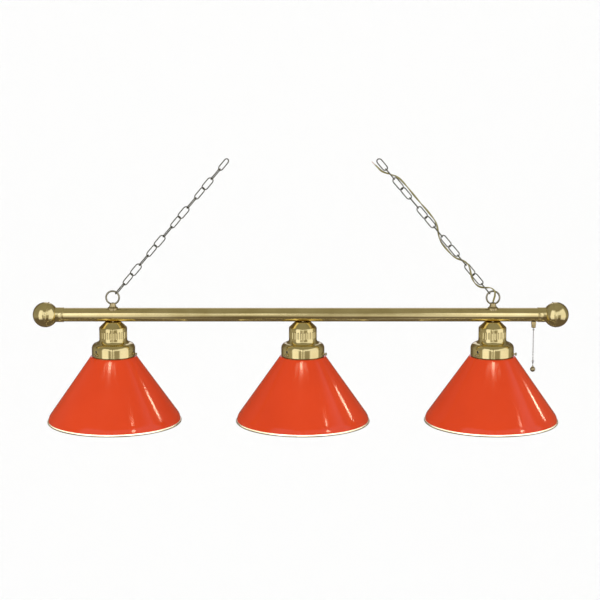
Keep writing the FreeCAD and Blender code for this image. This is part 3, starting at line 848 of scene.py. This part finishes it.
RING_R = 17.25 * MM
RING_WIRE = 2.4 * MM
LOOP_FLUTES = 12
LOOP_LINE = in_mm([
    (4.5, 31.8), (6.2, 31.8), (6.9, 31.5), (7.4, 30.6), (7.7, 28.4), (8.2, 26.6), (8.6, 25.0),
    (9.3, 23.2), (10.3, 21.6), (11.7, 20.2), (13.1, 19.4), (14.0, 18.9), (14.0, 17.8), (13.9, 11.0),
    (4.5, 11.0),
])
LOOP_FLUTES_LOW = 18.8 * MM
LOOP_FLUTES_HIGH = 29 * MM
LOOP_BORE_R = 7 * MM
LOOP_WAIST_R = 7.6 * MM
LOOP_FLUTE_DEPTH = 0.25 * MM
LOOP_FLUTE_GROWTH = 0.16
LOOP_FOOT_TOP = 18.5 * MM
LOOP_FOOT_GAP = 0.9 * MM


def make_loop(side):
    """A cast eye ring on its flared, fluted neck, which sits on the bar."""
    place = on_bar(LAMP_X[side])

    def fluted(turn, r, z):
        if z < LOOP_FLUTES_LOW or z > LOOP_FLUTES_HIGH or r < LOOP_BORE_R:
            return r
        depth = (r - LOOP_WAIST_R) * LOOP_FLUTE_GROWTH + LOOP_FLUTE_DEPTH
        return r - depth * (0.5 + 0.5 * math.cos(LOOP_FLUTES * turn)) ** 2

    bm = bmesh.new()
    lathe(bm, LOOP_LINE, 192, place, bump=fluted)
    for vert in bm.verts:
        rise = vert.co.z - BAR_Z
        if rise < LOOP_FOOT_TOP:
            bar_top = math.sqrt(max(BAR_R ** 2 - vert.co.y ** 2, 0))
            vert.co.z = BAR_Z + min(rise, bar_top + LOOP_FOOT_GAP)
    upright = Matrix.Translation((0, 0, RING_RISE)) @ Matrix.Rotation(math.radians(90), 4, "X")
    neck_faces = len(bm.faces)
    lathe(bm, circle(RING_WIRE, 28, (RING_R, 0.0)), 96, place @ upright)
    # the ring's faces take the darker ring brass: painted shade for the dim room it mirrors
    mark_faces(bm, neck_faces, 1)
    add_piece(bm, "eye_loop_" + side, "hanging_frame", ["loop_" + side],
              [BRASS["cast"], BRASS["ring"]], 50)


# ---- chains ----
LINK_WIRE = 1.5 * MM
LINK_BEND = 7.85 * MM
LINK_HALF = 18.05 * MM
LINK_PITCH = 33.1 * MM
FIRST_LINK = 31.45 * MM
SWIVEL_GAP = 0.5 * MM
LINKS = 14
TWIST_START = {"left": -165, "right": -150}
LINK_TWIST = 60


def add_link(bm, side, number):
    """One oval link of round wire, turned further about the chain than the link below it."""
    leg = LINK_HALF - LINK_BEND
    outline = [(LINK_BEND, -leg + 2 * leg * k / 12) for k in range(12)]
    outline += [(LINK_BEND * math.cos(math.pi * k / 16), leg + LINK_BEND * math.sin(math.pi * k / 16))
                for k in range(16)]
    outline += [(-x, -z) for x, z in outline]
    distance = FIRST_LINK + LINK_PITCH * (number - 1) - (SWIVEL_GAP if number == LINKS else 0)
    twist = Matrix.Rotation(math.radians(TWIST_START[side] + LINK_TWIST * number), 4, "Z")
    lean = Matrix.Rotation(-SIDES[side] * CHAIN_ANGLE, 4, "Y")
    place = Matrix.Translation(chain_place(side, distance)) @ lean @ twist
    points = [place @ Vector((x, 0, z)) for x, z in outline]
    sweep(bm, points, circle(LINK_WIRE, 14), closed=True)


def make_chain(side):
    """The links that swing, and the top link that stays on its hook."""
    bm = bmesh.new()
    for number in range(1, LINKS):
        add_link(bm, side, number)
    add_piece(bm, "chain_links_" + side, "hanging_frame", ["chain_" + side], [CHAIN_METAL])
    bm = bmesh.new()
    add_link(bm, side, LINKS)
    add_piece(bm, "hook_link_" + side, "ceiling_links", ["top_link_" + side], [CHAIN_METAL])


make_bar()
for side in SIDES:
    make_finial(side)
    make_sleeve(side)
    make_loop(side)
    make_chain(side)


# ---- shades ----
SHADE_WALL = 1.0 * MM
NECK_R = 50.8 * MM
NECK_TOP = -99.6 * MM
LIP_R = 53.3 * MM
SHOULDER_R = 61.5 * MM
SHOULDER_Z = -112.0 * MM
RIM_R = 176.3 * MM
RIM_Z = -286.5 * MM
RIM_BEAD_R = 3.2 * MM
TURN_R = 171.6 * MM
TURN_Z = -270.0 * MM


def lip_curve(inset, steps=10):
    """The rolled-down edge of the cone, inset from its outer face."""
    start = Vector((TURN_R - inset, TURN_Z))
    knee = Vector((RIM_R - inset - 0.1 * MM, TURN_Z - 7.5 * MM))
    end = Vector((RIM_R - inset, RIM_Z))
    return [(1 - t) ** 2 * start + 2 * t * (1 - t) * knee + t ** 2 * end
            for t in [k / steps for k in range(steps + 1)]]


SLOPE_TOP = SHOULDER_Z - 0.6 * MM
SLOPE_STEPS = 24
# a face of a shade is white where it looks inward or straight down by more than these
WHITE_INWARD = -0.2
WHITE_DOWN = -0.9


def make_shade(lamp):
    """A spun cone: enamelled orange outside and white inside, with its neck and lip."""
    place = on_bar(LAMP_X[lamp])
    neck = rounded([
        (NECK_R - SHADE_WALL, NECK_TOP, 0),
        (LIP_R, NECK_TOP, 0.3 * MM),
        (LIP_R, NECK_TOP - SHADE_WALL, 0.3 * MM),
        (NECK_R, NECK_TOP - SHADE_WALL, 0.4 * MM),
        (NECK_R, SHOULDER_Z + 0.4 * MM, 0.8 * MM),
        (SHOULDER_R - 0.6 * MM, SHOULDER_Z + 0.4 * MM, 1.4 * MM),
        (TURN_R, TURN_Z, 0),
    ])[:-1]
    slope = [Vector((SHOULDER_R + (TURN_R - SHOULDER_R) * k / SLOPE_STEPS,
                     SLOPE_TOP + (TURN_Z - SLOPE_TOP) * k / SLOPE_STEPS)) for k in range(1, SLOPE_STEPS)]
    inside = list(reversed(lip_curve(SHADE_WALL)))
    inside.append(Vector((SHOULDER_R - 1.4 * MM, SHOULDER_Z - 0.8 * MM)))
    inside.append(Vector((NECK_R - SHADE_WALL, SLOPE_TOP)))
    bm = bmesh.new()
    lathe(bm, neck + slope + lip_curve(0) + inside, 256, place)
    bmesh.ops.recalc_face_normals(bm, faces=bm.faces)
    for face in bm.faces:
        centre = face.calc_center_median() - place.translation
        outward = face.normal.x * centre.x + face.normal.y * centre.y
        if outward < WHITE_INWARD * math.hypot(centre.x, centre.y) or face.normal.z < WHITE_DOWN:
            face.material_index = 1
    cone = add_piece(bm, "cone_" + lamp, "shade_" + lamp, ["shade_" + lamp, "shade_neck_" + lamp],
                     [ORANGE, WHITE], 30)
    cone.visible_glossy = False
    make_glints(lamp, cone)


def make_trim(lamp):
    """The rolled brass bead round a shade's rim."""
    centre = (RIM_R - 0.5 * SHADE_WALL, RIM_Z - 1.0 * MM)
    bm = bmesh.new()
    lathe(bm, circle(RIM_BEAD_R, 28, centre), 256, on_bar(LAMP_X[lamp]))
    return add_piece(bm, "rolled_rim_" + lamp, "shade_" + lamp, ["rim_trim_" + lamp],
                     [BRASS["trim"]])


# ---- lamp holders ----
DRUM_R = 37.0 * MM
FLUTES = 28
# each flute is cut by an upright rod of this radius, whose middle stands this far from the drum's axis
FLUTE_R = 3.2 * MM
FLUTE_CENTRE = 39.2 * MM
FLUTE_LOW = -59.5 * MM
FLUTE_HIGH = -44.5 * MM
SCREW_ANGLES = (-17, -137, 103)
SCREW_Z = -103.0 * MM
KEYHOLE_Z = -94.0 * MM
KEYHOLE_R = 3.7 * MM


def straight_points(start, end, steps):
    """Points on the straight line between two (radius, height) points, without the first."""
    (r, z), (last_r, last_z) = start, end
    return [(r + (last_r - r) * k / steps, z + (last_z - z) * k / steps) for k in range(1, steps + 1)]


def arc_points(start, middle, end, steps):
    """Points on the circle through three (radius, height) points, without the first."""
    (ax, ay), (bx, by), (cx, cy) = start, middle, end
    a2, b2, c2 = ax * ax + ay * ay, bx * bx + by * by, cx * cx + cy * cy
    d = 2 * (ax * (by - cy) + bx * (cy - ay) + cx * (ay - by))
    ux = (a2 * (by - cy) + b2 * (cy - ay) + c2 * (ay - by)) / d
    uy = (a2 * (cx - bx) + b2 * (ax - cx) + c2 * (bx - ax)) / d
    radius = math.hypot(ax - ux, ay - uy)
    first = math.atan2(ay - uy, ax - ux)
    turn = math.atan2(cy - uy, cx - ux) - first
    turn = (turn + math.pi) % (2 * math.pi) - math.pi
    turns = [first + turn * k / steps for k in range(1, steps + 1)]
    return [(ux + radius * math.cos(t), uy + radius * math.sin(t)) for t in turns]


def holder_outside():
    """The pressed cap's outer line in mm: cone, fluted drum, flare and skirt."""
    line = [(5.0, -18.4), (12.0, -18.4), (18.6, -18.4)]
    line += arc_points((18.6, -18.4), (20.9, -18.85), (22.4, -20.0), 4)
    line += straight_points((22.4, -20.0), (34.0, -31.2), 4)
    line += arc_points((34.0, -31.2), (36.2, -33.4), (37.0, -36.5), 6)
    line += straight_points((37.0, -36.5), (37.0, -67.0), 56)
    line += arc_points((37.0, -67.0), (39.6, -71.8), (44.8, -75.4), 8)
    line += arc_points((44.8, -75.4), (54.2, -80.4), (57.5, -89.0), 12)
    line += straight_points((57.5, -89.0), (57.5, -108.6), 20)
    line += [(57.3, -109.4), (56.9, -110.0), (56.4, -109.8)]
    return [Vector((r, z)) * MM for r, z in line]


def holder_inside():
    """The same cap's inner line, going back up, in mm."""
    line = [(56.2, -108.6), (56.2, -89.0)]
    line += arc_points((56.2, -89.0), (53.1, -81.4), (44.0, -76.6), 8)
    line += arc_points((44.0, -76.6), (38.2, -72.9), (34.8, -67.0), 6)
    line += [(34.8, -36.5)]
    line += arc_points((34.8, -36.5), (34.3, -34.2), (33.1, -32.2), 4)
    line += [(21.5, -21.0), (19.0, -19.7), (5.0, -19.7)]
    return [Vector((r, z)) * MM for r, z in line]


def scalloped(turn, r, z):
    """The drum's radius where its rounded upright flutes cut in."""
    on_drum = FLUTE_LOW - FLUTE_R < z < FLUTE_HIGH + FLUTE_R and abs(r - DRUM_R) <= 0.1 * MM
    if not on_drum:
        return r
    past_end = max(FLUTE_LOW - z, z - FLUTE_HIGH, 0)
    reach = math.sqrt(max(FLUTE_R ** 2 - past_end ** 2, 0))
    step = 2 * math.pi / FLUTES
    aside = (turn / step - 0.5) % 1.0
    aside = min(aside, 1 - aside) * step * FLUTE_CENTRE
    cut = math.sqrt(max(reach ** 2 - aside ** 2, 0))
    return min(r, FLUTE_CENTRE - cut + 0.12 * MM) if cut > 0 else r


def out_of_skirt(lamp, degrees, height):
    """The frame on a lamp's axis at a height that turns a lathe's Z outward, towards degrees."""
    turn = Matrix.Rotation(math.radians(degrees), 4, "Z")
    lie = Matrix.Rotation(math.radians(90), 4, "Y")
    return on_bar(LAMP_X[lamp]) @ turn @ Matrix.Translation((0, 0, height)) @ lie


def make_holder(lamp):
    """The pressed brass cap over the socket, with its scalloped flutes and screw bosses."""
    bm = bmesh.new()
    lathe(bm, holder_outside() + holder_inside(), FLUTES * 14, on_bar(LAMP_X[lamp]), bump=scalloped)
    boss = rounded(in_mm([(2.15, 56.6, 0), (4.7, 56.6, 0), (4.2, 58.3, 0.5), (2.15, 58.3, 0.4)]))
    for degrees in SCREW_ANGLES:
        lathe(bm, boss, 32, out_of_skirt(lamp, degrees, SCREW_Z))
    add_piece(bm, "cap_" + lamp, "hanging_frame", ["holder_" + lamp], [BRASS["cap"]], 44)
    add_keyholes(lamp)


# distances from the lamp's axis: the disc painted dark as the shade inside a hole, and where the rolled edge
# starts
KEYHOLE_DISC = 57.54 * MM
KEYHOLE_EDGE = 57.60 * MM


def add_keyholes(lamp):
    """The small holes above the screws, not cut through: a disc on the skirt painted dark as the shade inside
    a hole, within a small rolled edge.
    """
    line = [(0.0, KEYHOLE_DISC), (KEYHOLE_R - 0.25 * MM, KEYHOLE_DISC), (KEYHOLE_R - 0.1 * MM, 57.70 * MM),
            (KEYHOLE_R + 0.1 * MM, 57.72 * MM), (KEYHOLE_R + 0.45 * MM, 57.40 * MM)]
    axis = on_bar(LAMP_X[lamp]).translation
    bm = bmesh.new()
    for degrees in SCREW_ANGLES:
        lathe(bm, line, 28, out_of_skirt(lamp, degrees, KEYHOLE_Z), closed=False)
    # faces inside the rolled edge take the painted hole shade
    for face in bm.faces:
        centre = face.calc_center_median() - axis
        if math.hypot(centre.x, centre.y) < KEYHOLE_EDGE:
            face.material_index = 1
    add_piece(bm, "keyholes_" + lamp, "hanging_frame", [], [BRASS["cap"], PAINTED_HOLE_SHADE], 60)


# a thumbscrew's thread, in mm from the lamp's axis
THREAD_START = 51.9
THREAD_PITCH = 0.8
THREAD_TURNS = 12
SCREW_HEAD = in_mm([
    (0.2, 62.0, 0), (3.4, 62.0, 0.2), (3.9, 62.6, 0.2), (3.9, 65.4, 0.3), (3.3, 66.0, 0.3), (2.2, 66.2, 0.2),
    (0.2, 66.2, 0),
])
KNURLS = 14
KNURL_DEPTH = 0.28 * MM


def knurled(turn, r, z):
    """A screw head's radius, notched where it is widest."""
    if r < 3.6 * MM:
        return r
    return r - KNURL_DEPTH * (0.5 + 0.5 * math.cos(KNURLS * turn)) ** 3


def make_thumbscrew(lamp, number, degrees):
    """A turned thumbscrew: threaded shank, knurled head with a domed end."""
    place = out_of_skirt(lamp, degrees, SCREW_Z)
    thread = [(0.0, 51.1), (1.2, 51.1), (1.7, 51.6)]
    for turn in range(THREAD_TURNS):
        base = THREAD_START + THREAD_PITCH * turn
        thread += [(1.62, base), (2.03, base + 0.35), (1.62, base + 0.7)]
    thread += [(1.7, 61.8), (1.7, 62.1)]
    bm = bmesh.new()
    lathe(bm, in_mm(thread), 24, place, closed=False)
    lathe(bm, rounded(SCREW_HEAD, 3), 112, place, bump=knurled)
    node = "thumbscrew_%s_%d" % (lamp, number)
    add_piece(bm, "screw_%s_%d" % (lamp, number), node, [node], [BRASS["screw"]], 34)


# the socket's screw shell, in mm; heights are from the bar's axis
SHELL_TOP = -66.0
SHELL_BOTTOM = -94.0
SHELL_OUTER_R = 14.4
SHELL_INNER_R = 13.3
SHELL_THREAD_DEPTH = 0.35
SHELL_THREAD_PITCH = 3.6
SHELL_THREAD_START = 70.0


def make_socket(lamp):
    """The socket's screw shell, with its rolled thread."""
    inner, outer = [], []
    steps = 84
    for k in range(steps + 1):
        z = SHELL_TOP + (SHELL_BOTTOM - SHELL_TOP) * k / steps
        swell = 0.5 + 0.5 * math.cos(2 * math.pi * (z + SHELL_THREAD_START) / SHELL_THREAD_PITCH)
        inner.append(Vector((SHELL_INNER_R + SHELL_THREAD_DEPTH * swell, z)) * MM)
        outer.append(Vector((SHELL_OUTER_R, z)) * MM)
    bm = bmesh.new()
    lathe(bm, inner + list(reversed(outer)), 72, on_bar(LAMP_X[lamp]))
    add_piece(bm, "thread_shell_" + lamp, "hanging_frame", ["screw_shell_" + lamp],
              [SOCKET_METAL], 60)


rims = []
for lamp in LAMPS:
    make_holder(lamp)
    make_shade(lamp)
    rims.append(make_trim(lamp))
    for number, degrees in enumerate(SCREW_ANGLES, 1):
        make_thumbscrew(lamp, number, degrees)
    make_socket(lamp)
make_rim_glow(rims)


# ---- pull switch ----
SWITCH_X = middle_of("switch_bushing").x
CHAIN_BEAD_R = 1.6 * MM
BEAD_WIRE_R = 0.42 * MM
BEAD_OPENING = 8
BEAD_PITCH = 4.2 * MM
FIRST_BEAD = -44.4 * MM
CHAIN_BEADS = 18
NUT_LINE = rounded(in_mm([
    (1.3, -18.2, 0), (6.95, -18.2, 0.2), (6.95, -26.5, 0.5), (5.3, -26.5, 0), (5.3, -27.2, 0),
    (5.9, -27.4, 0.2), (5.9, -33.6, 0.5), (4.6, -35.5, 0.3), (1.3, -35.5, 0),
]), 4)
NUT_FLAT = 6.3 * MM
STEM_LINE = in_mm([
    (0.0, -20.0), (1.15, -20.0), (1.15, -38.2), (1.5, -38.4), (2.3, -39.5), (2.4, -40.0), (2.4, -41.6),
    (2.1, -42.0), (0.0, -42.0),
])
COUPLING_TOP = FIRST_BEAD - CHAIN_BEADS * BEAD_PITCH - 2.0 * MM
END_BALL_Z = -147.8 * MM
END_BALL_R = 7.0 * MM


def bead_outline(top, count):
    """Hollow beads joined by short dumb-bell wires, from the top bead down."""
    line = []
    arc = [math.radians(90 - BEAD_OPENING - (180 - 2 * BEAD_OPENING) * k / 12) for k in range(13)]
    for i in range(count):
        centre = top - BEAD_PITCH * i
        line += [(CHAIN_BEAD_R * math.cos(t), centre + CHAIN_BEAD_R * math.sin(t)) for t in arc]
        if i < count - 1:
            wire_top = centre - CHAIN_BEAD_R * 0.99
            wire_bottom = centre - BEAD_PITCH + CHAIN_BEAD_R * 0.99
            line += [(BEAD_WIRE_R, wire_top), (BEAD_WIRE_R, wire_bottom)]
    return line


def turned_piece(name, outline, body, node, material=NICKEL, segments=28):
    """A small turned piece on the switch's axis."""
    bm = bmesh.new()
    lathe(bm, outline, segments, on_bar(SWITCH_X), closed=False)
    add_piece(bm, name, body, [node], [material], 40)


def six_sided(turn, r, z):
    """The nut's radius, with six flats on its upper step."""
    if r < 6.0 * MM or z < -26.6 * MM:
        return r
    part = (turn + math.pi / 6) % (math.pi / 3) - math.pi / 6
    return min(r, NUT_FLAT / math.cos(part))


def make_switch():
    """The two-step nut, stem, bead chain, coupling and end ball."""
    bm = bmesh.new()
    lathe(bm, NUT_LINE, 96, on_bar(SWITCH_X), bump=six_sided)
    add_piece(bm, "switch_nut", "hanging_frame", ["switch_bushing"], [BRASS["cast"]], 32)
    turned_piece("switch_stem", STEM_LINE, "pull_stem", "pull_stem")
    bead = bead_outline(FIRST_BEAD, 1)
    wire_top = (BEAD_WIRE_R, FIRST_BEAD + 2.6 * MM)
    wire_bottom = (BEAD_WIRE_R, FIRST_BEAD - 1.9 * MM)
    turned_piece("first_bead", [wire_top] + bead + [wire_bottom], "pull_bead", "pull_bead")
    beads = bead_outline(FIRST_BEAD - BEAD_PITCH, CHAIN_BEADS)
    turned_piece("bead_chain", beads, "pull_chain", "pull_chain")
    top = COUPLING_TOP
    bell = rounded([
        (0.0, top, 0), (1.3 * MM, top, 0.3 * MM), (2.7 * MM, top - 2.6 * MM, 0.9 * MM),
        (2.7 * MM, top - 6.4 * MM, 0.9 * MM), (1.3 * MM, top - 9.0 * MM, 0.3 * MM), (0.0, top - 9.0 * MM, 0),
    ], 5)
    turned_piece("chain_coupling", bell, "pull_chain", "pull_connector")
    turned_piece("lower_beads", bead_outline(top - 11.0 * MM, 2), "pull_chain", "pull_chain_end")
    neck = [(0.0, 9.0), (1.8, 9.0), (2.6, 7.9), (2.7, 7.2)]
    start = math.acos(2.7 / 7.0)
    ball = [(r * MM, END_BALL_Z + z * MM) for r, z in neck]
    ball += [(END_BALL_R * math.cos(t), END_BALL_Z + END_BALL_R * math.sin(t))
             for t in [start - (start + math.pi / 2) * k / 28 for k in range(29)]]
    ball[-1] = (0.0, END_BALL_Z - END_BALL_R)
    turned_piece("end_ball", ball, "pull_chain", "pull_ball", BRASS["screw"], 48)


make_switch()
